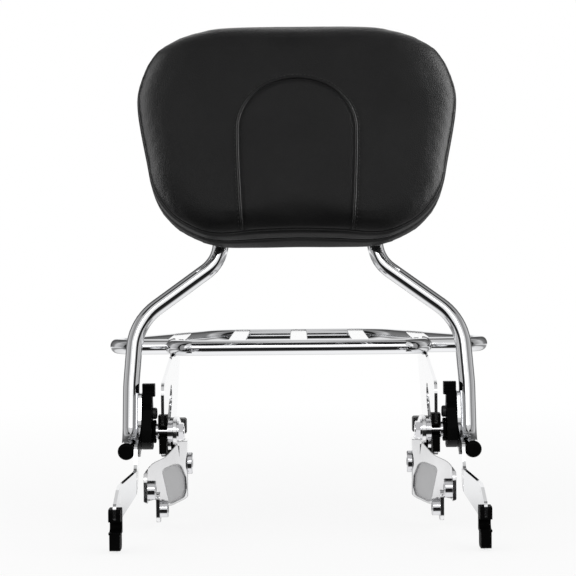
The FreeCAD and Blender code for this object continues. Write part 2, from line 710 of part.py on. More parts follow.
def build_nodes():
    """All pieces by node name, in the building frame."""
    nodes = {}

    def add(name, shape):
        nodes[name] = shape

    def add_pair(name, right_shape):
        add("right_" + name, right_shape)
        add("left_" + name, mirrored(right_shape))

    add("upright_tube", upright_tube())
    add_pair("end_cap", end_cap())
    add("pad_cushion", pad_cushion())
    add("pad_back_board", pad_board())
    add("lower_pad_strap", pad_strap(STRAP_HEIGHTS[0]))
    add("upper_pad_strap", pad_strap(STRAP_HEIGHTS[1]))
    add("pad_screws", pad_screws())
    add("pad_washers", pad_washers())

    plate = side_plate()
    add_pair("side_plate", plate)
    add_pair("front_notch_liner", notch_liner(FORK_PLATE_X + PLATE_T / 2, FORK_Y, FORK_Z, 10.9, plate))
    add_pair("latch_lever", latch_lever())
    add_pair("latch_spring",
             torsion_spring(LEVER_X + LEVER_T - 4.5, 0, LEVER_PIVOT_H, 5.2, 0.6, 2.5))
    add_pair("latch_pivot_screw",
             pivot_screw(LEVER_X - 0.3, 4.1, 5.6, SIDE_PLATE_X + PLATE_T, 0, LEVER_PIVOT_H))

    add_pair("docking_bracket", docking_bracket())
    add_pair("bracket_nuts", bracket_nuts())
    add_pair("front_docking_post", front_post())
    add_pair("rear_docking_post", rear_post())
    add_pair("front_post_nut", front_post_nut())
    add_pair("post_bushing", post_bushing())

    cutters = slat_cutters()
    add("rack_front_hoop", rack_front_hoop())
    add("rack_outer_loop", rack_outer_loop())
    for number, place in enumerate((-2, -1, 0, 1, 2), start=1):
        is_outer = abs(place) == 2
        start_y = HOOP_END_Y + 0.1 if is_outer else RACK_FRONT_Y + 3
        x = math.copysign(HOOP_X, place) if is_outer else place * SLAT_SPACING
        add("rack_slat_" + str(number), rack_slat(x, start_y, cutters))
    rack_plate = rack_side_plate()
    add_pair("rack_side_plate", rack_plate)
    add_pair("rack_notch_liner", notch_liner(RACK_PLATE_X + PLATE_T / 2, 0, 0, 8.6, rack_plate))
    add_pair("rack_rear_liner", rack_rear_liner(rack_plate))
    add_pair("rack_guide", rack_guide())
    add_pair("rack_latch_lever", rack_latch_lever())
    pivot_y, pivot_z = rack_pivot()
    add_pair("rack_latch_spring", torsion_spring(RACK_LEVER_X + 0.2, pivot_y, pivot_z, 4.4, 0.5, 2))
    add_pair("rack_latch_screw", pivot_screw(
        RACK_LEVER_X + RACK_LEVER_T + 0.3, 3.2, 5.0, RACK_PLATE_X, pivot_y, pivot_z))
    return nodes


def main():
    os.makedirs("parts", exist_ok=True)
    front_end = FORK_Y - 10
    rear_end = RACK_REAR_Y + TUBE_R
    lowest = FORK_Z - 23
    to_origin = Vector(0, -(front_end + rear_end) / 2, -lowest)
    for name, shape in build_nodes().items():
        shape.translate(to_origin)
        shape.exportStep("parts/" + name + ".step")


main()
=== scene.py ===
import bmesh
import bpy
import json
import math
import numpy as np
from mathutils import Matrix, Vector

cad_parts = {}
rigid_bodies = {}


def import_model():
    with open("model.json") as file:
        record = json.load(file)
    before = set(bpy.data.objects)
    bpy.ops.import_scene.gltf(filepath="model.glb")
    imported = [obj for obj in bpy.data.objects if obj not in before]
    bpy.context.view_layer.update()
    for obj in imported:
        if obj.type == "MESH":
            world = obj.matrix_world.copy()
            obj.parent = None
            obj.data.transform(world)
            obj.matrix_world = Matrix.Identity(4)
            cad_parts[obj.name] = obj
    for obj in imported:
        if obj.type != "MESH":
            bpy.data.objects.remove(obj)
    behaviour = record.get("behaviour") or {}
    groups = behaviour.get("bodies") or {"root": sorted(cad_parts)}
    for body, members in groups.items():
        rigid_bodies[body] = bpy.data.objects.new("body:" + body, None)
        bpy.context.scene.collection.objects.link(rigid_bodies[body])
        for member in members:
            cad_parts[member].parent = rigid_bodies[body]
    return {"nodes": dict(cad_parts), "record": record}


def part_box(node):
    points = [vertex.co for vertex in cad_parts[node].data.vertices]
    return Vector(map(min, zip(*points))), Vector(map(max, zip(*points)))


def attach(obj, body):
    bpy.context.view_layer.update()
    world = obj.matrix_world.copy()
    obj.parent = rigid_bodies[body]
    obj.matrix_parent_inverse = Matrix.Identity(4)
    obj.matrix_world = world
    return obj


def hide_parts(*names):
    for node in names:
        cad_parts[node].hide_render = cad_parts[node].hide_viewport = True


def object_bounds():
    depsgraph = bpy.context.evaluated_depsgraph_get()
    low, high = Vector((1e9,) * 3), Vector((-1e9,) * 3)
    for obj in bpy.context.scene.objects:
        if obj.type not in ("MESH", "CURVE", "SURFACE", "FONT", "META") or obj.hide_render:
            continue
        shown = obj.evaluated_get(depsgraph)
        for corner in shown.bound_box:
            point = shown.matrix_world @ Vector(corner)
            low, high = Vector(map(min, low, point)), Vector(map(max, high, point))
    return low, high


# Looks of the passenger backrest with its luggage rack. Sizes in this file are millimetres from the
# middle of the line through the two front docking posts: +X right, -Y the way the pad faces, +Z up.
MM = 0.001

# Pad, measured in the upright's leaning plane: height along it, forward out of it
LEAN_DEG = 15.0
LEG_Y = -8.0
PAD_MIDDLE_H = 288.0
PAD_BACK = 18.0
BACK_EDGE_FORWARD = 4.0
SEAM_FORWARD = 34.0
MID_SEAM_FORWARD = 19.0
BACK_FORWARD = 0.6
EDGE_RISE = 12.0
EDGE_SOFTNESS = 8.5
FACE_SLOPE = 0.02
PAD_LOOP = 180

# Distances from which rays look for the pad's surface: in front of its back, and out from its side
LOOK_FROM_FRONT = 90.0
LOOK_FROM_SIDE = 50.0

# Insets of the face's rings, from its seam to its middle
FACE_INSETS = (2.5, 4.5, 7, 10, 14, 19, 26, 36, 50, 68)
MIDDLE_INSET = 80

# Cover of the pad: size of its mesh, length of the cloth run, pressure under it and limit of its puff
VOXEL = 4.0
CLOTH_FRAMES = 20
CLOTH_STIFFNESS = 25
CLOTH_PRESSURE = 4.0
HELD_FORWARD = 3.5
PUFF_LIMIT = 2.5
TAUT_ROUNDS = 90

# Inverted U that is sewn into the face of the pad, and the raised fold between its two lines
ARCH_HALF = 60.5
ARCH_FOOT_HALF = 56.5
ARCH_TOP_H = 341.0
ARCH_SHOULDER_H = 286.0
ARCH_FOOT_H = 188.0
ARCH_LEG_SHARE = 0.45
BAND_W = 4.8
RIB_OFFSET = 2.9
RIB_R = 1.5
RIB_LIFT = -0.35

# Valleys pressed into the cover, as (width, depth). Those of the arch start a little in front of the
# face's seam, and those of the side's two seams lie further out than the reach.
ARCH_OUTER_VALLEY = (3.0, 0.8)
ARCH_INNER_VALLEY = (3.0, 1.4)
FACE_SEAM_VALLEY = (4.0, 1.6)
SIDE_SEAM_VALLEY = (3.5, 1.4)
FACE_START = 3
SIDE_REACH = 60

# Piping in the side's two seams, as (inset, lift, radius)
FACE_PIPING = (1.5, 0.1, 1.1)
SIDE_PIPING = (0.6, 0.0, 0.9)

# Stitches beside the arch: short runs of thread, as (place along it, share of its radius) pairs
STITCH_PITCH = 4.0
STITCH_LENGTH = 2.3
STITCH_R = 0.4
STITCH_LIFT = 0.1
STITCH_SIDES = 5
STITCH_PROFILE = ((-0.5, 0.35), (-0.25, 1.0), (0.25, 1.0), (0.5, 0.35))

# Rack and upright, as in the solids, and the slats that meet the hoop's front tube
TUBE_R = 8.0
FOOT_Z = -13.0
NECK_X = 76.5
STRAP_HEIGHTS = (228.0, 312.0)
STRAP_W = 26.0
RACK_Z = 72.9
HOOP_X = 131.7
WING_Y = 176.0
HOOP_SLATS = (2, 3, 4)
PLATE_X = (131.0, 134.0)
SIDE_PLATE_FACE_X = 155.5

# Weld beads: radii, ripples along one bead, and the share of the radius that its ends keep
SLAT_BEAD_R = 0.9
RING_BEAD_R = 1.0
PLATE_BEAD_R = 1.1
STRAP_BEAD_R = 1.1
FOOT_BEAD_R = 1.3
BEAD_RIPPLES = 9
BEAD_WAVE = 0.13
BEAD_END = 0.35

# Places of the welds: inset and rise on a slat, ring round a loop's end, clearance from a tube or
# plate, and the runs along the rack plates, the feet and the legs
SLAT_BEAD_IN = 0.6
SLAT_BEAD_UP = 0.1
SLAT_BEAD_OUT = 0.2
RING_R = 8.1
BEAD_CLEAR = 0.3
PLATE_BEAD_Y = (151, 186)
FOOT_BEAD_HALF = 2.7
FOOT_BEAD_OUT = 0.5
FOOT_BEAD_Y = (-54, -27)
LEG_BEAD_H = (8, 34)
STRAP_ARC_R = TUBE_R + 0.2
STRAP_ARC_DEG = 38

# Slanted wall of the docking bracket: its ends seen from above, the top of its sunk faces, the depth
# behind its rim that counts as 1, and (share of that depth, tone) pairs for the rim, the left face,
# the panel and the back. A tone under 1 darkens the colour there as painted shade in the recess. At
# or under the satin tone a face is dulled in full. The last value is how far the casting's edges are
# shaded round.
WEB_FRONT = (145.4, -18.5)
WEB_REAR = (111.9, 44.9)
SUNK_TOP = -32.0
SUNK_DEPTH = 4.0
SUNK_SHADE_TONES = [
    (0.0, 1.0), (0.05, 1.0), (0.17, 0.74), (0.3, 0.74), (0.45, 0.82), (0.56, 0.82), (0.66, 1.0)]
SATIN_TONE = 0.84
EDGE_ROUNDING = 0.9

# Camera: place, lens on a 36 mm sensor, and its turns downward, aside and about the line of sight
CAMERA_PLACE = (0, -1900, 185)
CAMERA_LENS = 122.3
CAMERA_DOWN_DEG = 1.40
CAMERA_ASIDE_DEG = 0.30
CAMERA_ROLL_DEG = 0.49

# Soft boxes: name, place, target, size in metres, power in watts, whether they light only the pad
LAMPS = [
    ("key", (-150, -1950, 1020), (0, 60, 150), (0.9, 0.4), 3.5, False),
    ("top", (0, 1000, 1500), (0, 60, 150), (1.6, 0.8), 12, True),
    ("left_side", (-1450, -200, 800), (0, 0, 290), (0.9, 1.8), 44, True),
    ("right_side", (1450, -200, 800), (0, 0, 290), (0.9, 1.8), 84, True),
    ("left_near", (-400, -160, 120), (-163, 0, 120), (0.2, 0.6), 0.1, False),
    ("right_near", (400, -160, 120), (163, 0, 120), (0.2, 0.6), 0.1, False),
]

# Room that the gloss shows, as (height, level) pairs from straight down at 0 to straight up at 1: in
# front of the part, and beside and behind it. The horizon is at 0.5.
ROOM_FRONT = [
    (0.0, 1.0), (0.07, 0.95), (0.11, 0.25), (0.14, 0.02), (0.478, 0.01), (0.495, 0.6), (0.54, 0.95),
    (0.735, 1.0), (0.765, 0.72), (0.985, 0.62), (1.0, 0.7)]
ROOM_REST = [
    (0.0, 1.0), (0.27, 0.8), (0.34, 0.3), (0.40, 0.35), (0.425, 0.5), (0.437, 1.0), (0.77, 1.0),
    (0.80, 0.72), (0.97, 0.58), (1.0, 0.7)]
ROOM_BLEND = (-0.1, -0.5)

# Dark flags round the room, as (turn, level) pairs from the front at 0 over the left to the back at
# 0.5, and the heights between which they set in. The right half is the mirror image.
FLAGS = [
    (0.0, 1.0), (0.09, 0.95), (0.11, 0.03), (0.18, 0.02), (0.205, 0.35), (0.30, 0.6), (0.35, 0.2),
    (0.44, 0.08), (0.46, 0.2), (0.475, 1.0), (0.5, 1.0)]
FLAG_HEIGHTS = (0.445, 0.47)
SOFT_LEVEL = 0.85

# Floor: half its width in metres, the gap under the part in millimetres, its colour, and the
# distances in metres and shares of its fade to white
FLOOR_REACH = 30.0
FLOOR_GAP = 0.5
FLOOR_COLOUR = (0.9, 0.9, 0.9, 1)
FLOOR_FADE = (0.35, 1.3)
FLOOR_SHARES = (0.84, 1.0)

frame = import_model()
cad_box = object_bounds()
post_low, post_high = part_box("right_front_docking_post")
ORIGIN = Vector((0, (post_low[1] + post_high[1]) / 2, (post_low[2] + post_high[2]) / 2))


# Places and meshes

def spot(x, y, z):
    """Point given in millimetres from the docking posts."""
    return ORIGIN + Vector((x, y, z)) * MM


def leaning(x, height, forward):
    """Point in the leaning plane of the upright."""
    lean = math.radians(LEAN_DEG)
    y = LEG_Y + height * math.sin(lean) - forward * math.cos(lean)
    z = height * math.cos(lean) + forward * math.sin(lean)
    return spot(x, y, z)


def add_mesh(name, verts, faces, smooth=True):
    mesh = bpy.data.meshes.new(name)
    mesh.from_pydata(verts, [], faces)
    mesh.update()
    piece = bpy.data.objects.new(name, mesh)
    bpy.context.scene.collection.objects.link(piece)
    if smooth:
        mesh.polygons.foreach_set("use_smooth", [True] * len(mesh.polygons))
    return piece


def finish_piece(piece, material, body="frame"):
    """Material, in its one slot, and body of a new piece."""
    piece.data.materials.clear()
    piece.data.materials.append(material)
    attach(piece, body)
    return piece


def modify(piece, kind, **values):
    """Apply one modifier to a mesh piece."""
    modifier = piece.modifiers.new(kind.title(), kind)
    for key, value in values.items():
        setattr(modifier, key, value)
    bpy.context.view_layer.update()
    graph = bpy.context.evaluated_depsgraph_get()
    done = bpy.data.meshes.new_from_object(piece.evaluated_get(graph))
    piece.modifiers.clear()
    old = piece.data
    piece.data = done
    bpy.data.meshes.remove(old)


def smooth_loop(points, count):
    """Closed smooth line through 2-D points, in even steps."""
    dense = []
    total = len(points)
    fine = 24
    for i in range(total):
        p0, p1, p2, p3 = [Vector(points[(i + k) % total]) for k in (-1, 0, 1, 2)]
        for step in range(fine):
            t = step / fine
            dense.append(0.5 * (2 * p1 + (p2 - p0) * t + (2 * p0 - 5 * p1 + 4 * p2 - p3) * t * t
                                + (3 * p1 - p0 - 3 * p2 + p3) * t ** 3))
    lengths = [0.0]
    for a, b in zip(dense, dense[1:] + dense[:1]):
        lengths.append(lengths[-1] + (b - a).length)
    even = []
    index = 0
    for step in range(count):
        goal = lengths[-1] * step / count
        while lengths[index + 1] < goal:
            index += 1
        part = (goal - lengths[index]) / (lengths[index + 1] - lengths[index])
        even.append(dense[index].lerp(dense[(index + 1) % len(dense)], part))
    return even


def tube_parts(path, radius, closed, sides, taper, first):
    """Corner points and faces of one round cord, numbered from a first corner."""
    count = len(path)
    verts = []
    faces = []
    side_hint = Vector((1, 0, 0))
    for i, point in enumerate(path):
        ahead = path[(i + 1) % count] if closed or i < count - 1 else point
        behind = path[i - 1] if closed or i > 0 else point
        along = (ahead - behind).normalized()
        across = side_hint - along * side_hint.dot(along)
        if across.length < 0.05:
            across = along.orthogonal()
        across.normalize()
        side_hint = across
        up = along.cross(across)
        size = radius * (taper(i / (count - 1)) if taper else 1.0)
        for k in range(sides):
            angle = 2 * math.pi * k / sides
            verts.append(point + (across * math.cos(angle) + up * math.sin(angle)) * size)
    rings = count if closed else count - 1
    for i in range(rings):
        for k in range(sides):
            a = first + i * sides + k
            b = first + i * sides + (k + 1) % sides
            c = first + ((i + 1) % count) * sides + (k + 1) % sides
            d = first + ((i + 1) % count) * sides + k
            faces.append((a, b, c, d))
    if not closed:
        faces.append(tuple(first + k for k in range(sides - 1, -1, -1)))
        faces.append(tuple(first + (count - 1) * sides + k for k in range(sides)))
    return verts, faces


def tube_mesh(name, paths, radius, closed=False, sides=10, taper=None):
    """Round cords along one or more rows of points, as one mesh."""
    verts = []
    faces = []
    for path in paths:
        more_verts, more_faces = tube_parts(path, radius, closed, sides, taper, len(verts))
        verts.extend(more_verts)
        faces.extend(more_faces)
    return add_mesh(name, verts, faces)


# Materials

def new_material(name):
    material = bpy.data.materials.new(name)
    material.use_nodes = True
    nodes = material.node_tree.nodes
    return material, nodes, material.node_tree.links, nodes["Principled BSDF"]


def bumped(nodes, links, shader, height, strength, distance):
    bump = nodes.new("ShaderNodeBump")
    bump.inputs["Strength"].default_value = strength
    bump.inputs["Distance"].default_value = distance
    links.new(height, bump.inputs["Height"])
    links.new(bump.outputs["Normal"], shader.inputs["Normal"])


def object_place(nodes):
    return nodes.new("ShaderNodeTexCoord").outputs["Object"]


def noise_node(nodes, links, place, scale, detail=4.0, roughness=0.55):
    texture = nodes.new("ShaderNodeTexNoise")
    texture.inputs["Scale"].default_value = scale
    texture.inputs["Detail"].default_value = detail
    texture.inputs["Roughness"].default_value = roughness
    links.new(place, texture.inputs["Vector"])
    return texture.outputs["Fac"]


def ranged(nodes, links, value, low, high, from_low=0.3, from_high=0.7):
    span = nodes.new("ShaderNodeMapRange")
    span.inputs["From Min"].default_value = from_low
    span.inputs["From Max"].default_value = from_high
    span.inputs["To Min"].default_value = low
    span.inputs["To Max"].default_value = high
    links.new(value, span.inputs["Value"])
    return span.outputs["Result"]


def tinted(nodes, links, value, dark, light):
    ramp = nodes.new("ShaderNodeValToRGB")
    ramp.color_ramp.elements[0].position = 0.3
    ramp.color_ramp.elements[0].color = (*dark, 1)
    ramp.color_ramp.elements[1].position = 0.7
    ramp.color_ramp.elements[1].color = (*light, 1)
    links.new(value, ramp.inputs["Fac"])
    return ramp.outputs["Color"]


def studio_ramp(nodes, links, value, stops):
    ramp = nodes.new("ShaderNodeValToRGB")
    ramp.color_ramp.interpolation = "EASE"
    elements = ramp.color_ramp.elements
    while len(elements) < len(stops):
        elements.new(0.5)
    for element, (place, level) in zip(elements, stops):
        element.position = place
        element.color = (level, level, level, 1)
    links.new(value, ramp.inputs["Fac"])
    return ramp.outputs["Color"]


def mixed_colour(nodes, links, blend, first, second, factor=None):
    """Mix of two colours, where a missing first one is white."""
    mix = nodes.new("ShaderNodeMix")
    mix.data_type = "RGBA"
    mix.blend_type = blend
    colours = [socket for socket in mix.inputs if socket.type == "RGBA"]
    if first:
        links.new(first, colours[0])
    else:
        colours[0].default_value = (1, 1, 1, 1)
    links.new(second, colours[1])
    if factor:
        links.new(factor, mix.inputs["Factor"])
    else:
        mix.inputs["Factor"].default_value = 1.0
    return [socket for socket in mix.outputs if socket.type == "RGBA"][0]


def chrome(name, tint, low, high, ripple):
    """Plated metal: faint haze in the gloss and a slow ripple from polishing."""
    material, nodes, links, shader = new_material(name)
    place = object_place(nodes)
    shader.inputs["Metallic"].default_value = 1.0
    cloud = noise_node(nodes, links, place, 22.0)
    links.new(tinted(nodes, links, cloud, [c * 0.97 for c in tint], tint), shader.inputs["Base Color"])
    links.new(ranged(nodes, links, cloud, low, high), shader.inputs["Roughness"])
    slow = noise_node(nodes, links, place, 30.0, 2.0)
    bumped(nodes, links, shader, slow, ripple, 0.0004)
    return material


def sunk_tone(nodes, links, place):
    """Painted shade on the docking bracket's slanted wall: its rim and rib keep full brightness, and its
    sunk faces get a lower level, which darkens their colour as painted shade and also dulls their gloss.
    """
    along = Vector((WEB_REAR[0] - WEB_FRONT[0], WEB_REAR[1] - WEB_FRONT[1], 0)).normalized()
    facing = Vector((along.y, -along.x, 0))
    mirrored = nodes.new("ShaderNodeVectorMath")
    mirrored.operation = "ABSOLUTE"
    shifted = nodes.new("ShaderNodeVectorMath")
    shifted.operation = "SUBTRACT"
    shifted.inputs[1].default_value = (0, ORIGIN.y - 1, 0)
    links.new(place, shifted.inputs[0])
    links.new(shifted.outputs["Vector"], mirrored.inputs[0])
    depth = nodes.new("ShaderNodeVectorMath")
    depth.operation = "DOT_PRODUCT"
    depth.inputs[1].default_value = facing
    links.new(mirrored.outputs["Vector"], depth.inputs[0])
    start = facing.dot(Vector((WEB_FRONT[0] * MM, 1 + WEB_FRONT[1] * MM, 0)))
    share = ranged(nodes, links, depth.outputs["Value"], 0.0, 1.0, start, start + SUNK_DEPTH * MM)
    # Painted shade: the level falls from 1 at the rim to darker values deeper behind it.
    recess_shade_level = studio_ramp(nodes, links, share, SUNK_SHADE_TONES)
    split = nodes.new("ShaderNodeSeparateXYZ")
    links.new(place, split.inputs["Vector"])
    low = spot(0, 0, SUNK_TOP).z
    below = ranged(nodes, links, split.outputs["Z"], 1.0, 0.0, low - 0.5 * MM, low + 0.5 * MM)
    return mixed_colour(nodes, links, "MIX", None, recess_shade_level, below)


def plated_casting_with_painted_shade(name, tint, low, high, ripple):
    """Plating on a casting: edges look rounded off, and the sunk faces are satin, with their colour
    darkened as painted shade.
    """
    material = chrome(name, tint, low, high, ripple)
    nodes = material.node_tree.nodes
    links = material.node_tree.links
    shader = nodes["Principled BSDF"]
    recess_shade_level = sunk_tone(nodes, links, object_place(nodes))
    colour = shader.inputs["Base Color"].links[0].from_socket
    # Painted shade: the base colour is multiplied by the sunk faces' darker level.
    links.new(mixed_colour(nodes, links, "MULTIPLY", colour, recess_shade_level), shader.inputs["Base Color"])
    gloss = shader.inputs["Roughness"].links[0].from_socket
    duller = nodes.new("ShaderNodeMath")
    duller.operation = "ADD"
    links.new(gloss, duller.inputs[0])
    links.new(ranged(nodes, links, recess_shade_level, 0.36, 0.0, SATIN_TONE, 1.0), duller.inputs[1])
    links.new(duller.outputs["Value"], shader.inputs["Roughness"])
    links.new(ranged(nodes, links, recess_shade_level, 0.4, 1.0, SATIN_TONE, 1.0), shader.inputs["Metallic"])
    rounded = nodes.new("ShaderNodeBevel")
    rounded.samples = 6
    rounded.inputs["Radius"].default_value = EDGE_ROUNDING * MM
    bump = shader.inputs["Normal"].links[0].from_node
    links.new(rounded.outputs["Normal"], bump.inputs["Normal"])
    return material


def turned_metal(name, tint, low, high):
    """Bright zinc: fine lines round the X axis from turning."""
    material, nodes, links, shader = new_material(name)
    place = object_place(nodes)
    shader.inputs["Metallic"].default_value = 1.0
    stretch = nodes.new("ShaderNodeMapping")
    stretch.inputs["Scale"].default_value = (60.0, 1.0, 1.0)
    links.new(place, stretch.inputs["Vector"])
    lines = noise_node(nodes, links, stretch.outputs["Vector"], 40.0, 3.0)
    cloud = noise_node(nodes, links, place, 60.0)
    links.new(tinted(nodes, links, cloud, [c * 0.9 for c in tint], tint), shader.inputs["Base Color"])
    links.new(ranged(nodes, links, lines, low, high), shader.inputs["Roughness"])
    bumped(nodes, links, shader, lines, 0.15, 0.0001)
    return material


def moulded(name, dark, light, low, high, grain):
    """Moulded black plastic with a fine spark-eroded grain."""
    material, nodes, links, shader = new_material(name)
    place = object_place(nodes)
    cloud = noise_node(nodes, links, place, 45.0)
    fine = noise_node(nodes, links, place, 1400.0, 2.0)
    links.new(tinted(nodes, links, cloud, dark, light), shader.inputs["Base Color"])
    links.new(ranged(nodes, links, cloud, low, high), shader.inputs["Roughness"])
    shader.inputs["Specular IOR Level"].default_value = 0.04
    bumped(nodes, links, shader, fine, grain, 0.0002)
    return material


def powder_coat(name, dark, light):
    material, nodes, links, shader = new_material(name)
    place = object_place(nodes)
    cloud = noise_node(nodes, links, place, 80.0)
    peel = noise_node(nodes, links, place, 420.0, 3.0)
    links.new(tinted(nodes, links, cloud, dark, light), shader.inputs["Base Color"])
    links.new(ranged(nodes, links, peel, 0.38, 0.52), shader.inputs["Roughness"])
    bumped(nodes, links, shader, peel, 0.35, 0.0002)
    return material


def vinyl(name):
    """Grained black vinyl: small pebbles between creases, with a slow random change in its colour and
    gloss.
    """
    material, nodes, links, shader = new_material(name)
    place = object_place(nodes)
    pebbles = nodes.new("ShaderNodeTexVoronoi")
    pebbles.feature = "F1"
    pebbles.inputs["Scale"].default_value = 900.0
    pebbles.inputs["Randomness"].default_value = 1.0
    links.new(place, pebbles.inputs["Vector"])
    creases = nodes.new("ShaderNodeTexVoronoi")
    creases.feature = "DISTANCE_TO_EDGE"
    creases.inputs["Scale"].default_value = 520.0
    links.new(place, creases.inputs["Vector"])
    wear = noise_node(nodes, links, place, 14.0)
    grain = nodes.new("ShaderNodeMath")
    grain.operation = "MULTIPLY_ADD"
    links.new(pebbles.outputs["Distance"], grain.inputs[0])
    grain.inputs[1].default_value = -0.6
    links.new(ranged(nodes, links, creases.outputs["Distance"], 0.0, 1.0, 0.0, 0.25), grain.inputs[2])
    links.new(tinted(nodes, links, wear, (0.0026, 0.0026, 0.0027), (0.0042, 0.0042, 0.0043)),
              shader.inputs["Base Color"])
    links.new(ranged(nodes, links, wear, 0.34, 0.42), shader.inputs["Roughness"])
    shader.inputs["Specular IOR Level"].default_value = 0.14
    bumped(nodes, links, shader, grain.outputs["Value"], 0.35, 0.00025)
    return material


def thread(name):
    material, nodes, links, shader = new_material(name)
    place = object_place(nodes)
    twist = nodes.new("ShaderNodeTexWave")
    twist.inputs["Scale"].default_value = 900.0
    twist.inputs["Distortion"].default_value = 2.0
    links.new(place, twist.inputs["Vector"])
    links.new(tinted(nodes, links, twist.outputs["Fac"], (0.012, 0.012, 0.012), (0.03, 0.03, 0.03)),
              shader.inputs["Base Color"])
    shader.inputs["Roughness"].default_value = 0.6
    shader.inputs["Specular IOR Level"].default_value = 0.04
    bumped(nodes, links, shader, twist.outputs["Fac"], 0.4, 0.0001)
    return material


def make_materials():
    deep = (0.001, 0.001, 0.001)
    soft_deep = (0.002, 0.002, 0.002)
    return {
        "chrome_tube": chrome("polished_chrome", (0.88, 0.885, 0.9), 0.02, 0.06, 0.05),
        "chrome_plate": chrome("plated_sheet", (0.87, 0.875, 0.885), 0.05, 0.11, 0.08),
        "chrome_cast": plated_casting_with_painted_shade("plated_casting_with_painted_shade", (0.88, 0.88, 0.89), 0.09, 0.17, 0.12),
        "weld": chrome("plated_weld", (0.82, 0.82, 0.83), 0.1, 0.2, 0.6),
        "turned_steel": turned_metal("bright_zinc", (0.78, 0.78, 0.80), 0.07, 0.14),
        "spring_steel": turned_metal("spring_wire", (0.35, 0.35, 0.37), 0.25, 0.4),
        "black_nylon": moulded("black_nylon", deep, soft_deep, 0.42, 0.55, 0.25),
        "black_latch": moulded("latch_black", deep, soft_deep, 0.34, 0.46, 0.2),
        "black_steel": powder_coat("black_powder_coat", (0.010, 0.010, 0.010), (0.018, 0.018, 0.018)),
        "vinyl": vinyl("grained_vinyl"),
        "board": moulded("board_plastic", (0.012, 0.012, 0.013), (0.020, 0.020, 0.021), 0.55, 0.7, 0.6),
        "thread": thread("black_thread"),
    }


def dress_frame(materials):
    """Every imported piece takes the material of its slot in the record."""
    for entry in frame["record"]["subparts"]:
        material = materials[entry["material_slot"]]
        piece = frame["nodes"][entry["node"]]
        if not piece.material_slots:
            piece.data.materials.append(material)
        for slot in piece.material_slots:
            slot.material = material


# Pad

FACE_LINE = [
    (0, 400.3), (69.5, 398.5), (96, 394), (120.5, 385.4), (143.2, 368.3), (156.8, 336), (157.8, 308),
    (148.8, 258.7), (141.8, 229), (123.3, 201.7), (97.6, 185.8), (76.7, 181.4), (40, 182.7), (0, 183.8),
]
BACK_LINE = [
    (0, 399), (69, 397), (95, 392.6), (119, 384.2), (142, 367), (156, 334.5), (156.5, 307),
    (147.5, 258), (141.2, 227.5), (131, 208), (112, 190.5), (80, 177.6), (40, 176), (0, 176.3),
]


def pad_line(inset, forward, count=PAD_LOOP):
    """Even loop round the pad at a distance in front of its back, pulled in by an inset."""
    share = (forward - BACK_EDGE_FORWARD) / (SEAM_FORWARD - BACK_EDGE_FORWARD)
    share = min(max(share, 0.0), 1.0)
    half = []
    for back, face in zip(BACK_LINE, FACE_LINE):
        half.append(Vector(back).lerp(Vector(face), share))
    whole = half + [Vector((-p.x, p.y)) for p in reversed(half[1:-1])]
    places = []
    for point in smooth_loop(whole, count):
        reach = math.hypot(point.x, point.y - PAD_MIDDLE_H)
        shrink = max(reach - inset, 0.0) / reach
        height = PAD_MIDDLE_H + (point.y - PAD_MIDDLE_H) * shrink
        places.append(leaning(point.x * shrink, height, PAD_BACK + forward))
    return places


def crown(inset):
    """How far the face stands in front of its seam, at a distance in from the edge."""
    return EDGE_RISE * (1 - math.exp(-inset / EDGE_SOFTNESS)) + inset * FACE_SLOPE


def pad_form():
    """Closed form of the pad before it is blown up: flat back, flared band, crowned face."""
    rings = [(30, BACK_FORWARD), (4, BACK_FORWARD), (1.5, 3), (0.8, 9), (0.6, MID_SEAM_FORWARD)]
    rings += [(0.6, 27), (0.8, SEAM_FORWARD)]
    for inset in FACE_INSETS:
        rings.append((inset, SEAM_FORWARD + crown(inset)))
    count = PAD_LOOP
    verts = []
    faces = []
    for inset, forward in rings:
        verts.extend(pad_line(inset, forward, count))
    for ring in range(len(rings) - 1):
        for k in range(count):
            a = ring * count + k
            b = ring * count + (k + 1) % count
            faces.append((a, b, b + count, a + count))
    verts.append(leaning(0, PAD_MIDDLE_H, PAD_BACK + BACK_FORWARD))
    back_centre = len(verts) - 1
    verts.append(leaning(0, PAD_MIDDLE_H, PAD_BACK + SEAM_FORWARD + crown(MIDDLE_INSET)))
    front_centre = len(verts) - 1
    last = (len(rings) - 1) * count
    for k in range(count):
        faces.append(((k + 1) % count, k, back_centre))
        faces.append((last + k, last + (k + 1) % count, front_centre))
    piece = add_mesh("pad_cover", verts, faces)
    cleaner = bmesh.new()
    cleaner.from_mesh(piece.data)
    bmesh.ops.recalc_face_normals(cleaner, faces=cleaner.faces)
    cleaner.to_mesh(piece.data)
    cleaner.free()
    return piece


def pad_coordinates(point):
    """Across, height and forward of a point, in millimetres in the leaning plane."""
    local = (point - ORIGIN) / MM
    lean = math.radians(LEAN_DEG)
    y = local.y - LEG_Y
    height = y * math.sin(lean) + local.z * math.cos(lean)
    forward = -y * math.cos(lean) + local.z * math.sin(lean)
    return local.x, height, forward - PAD_BACK


def evened(mesh, moves):
    """Movement of each point, spread over its neighbours, so that the cover is taut and smooth."""
    ends = np.array([edge.vertices[:] for edge in mesh.edges])
    counts = np.bincount(ends.ravel(), minlength=len(moves))[:, None] + 1.0
    for _ in range(TAUT_ROUNDS):
        total = moves.copy()
        np.add.at(total, ends[:, 0], moves[ends[:, 1]])
        np.add.at(total, ends[:, 1], moves[ends[:, 0]])
        moves = total / counts
    return moves


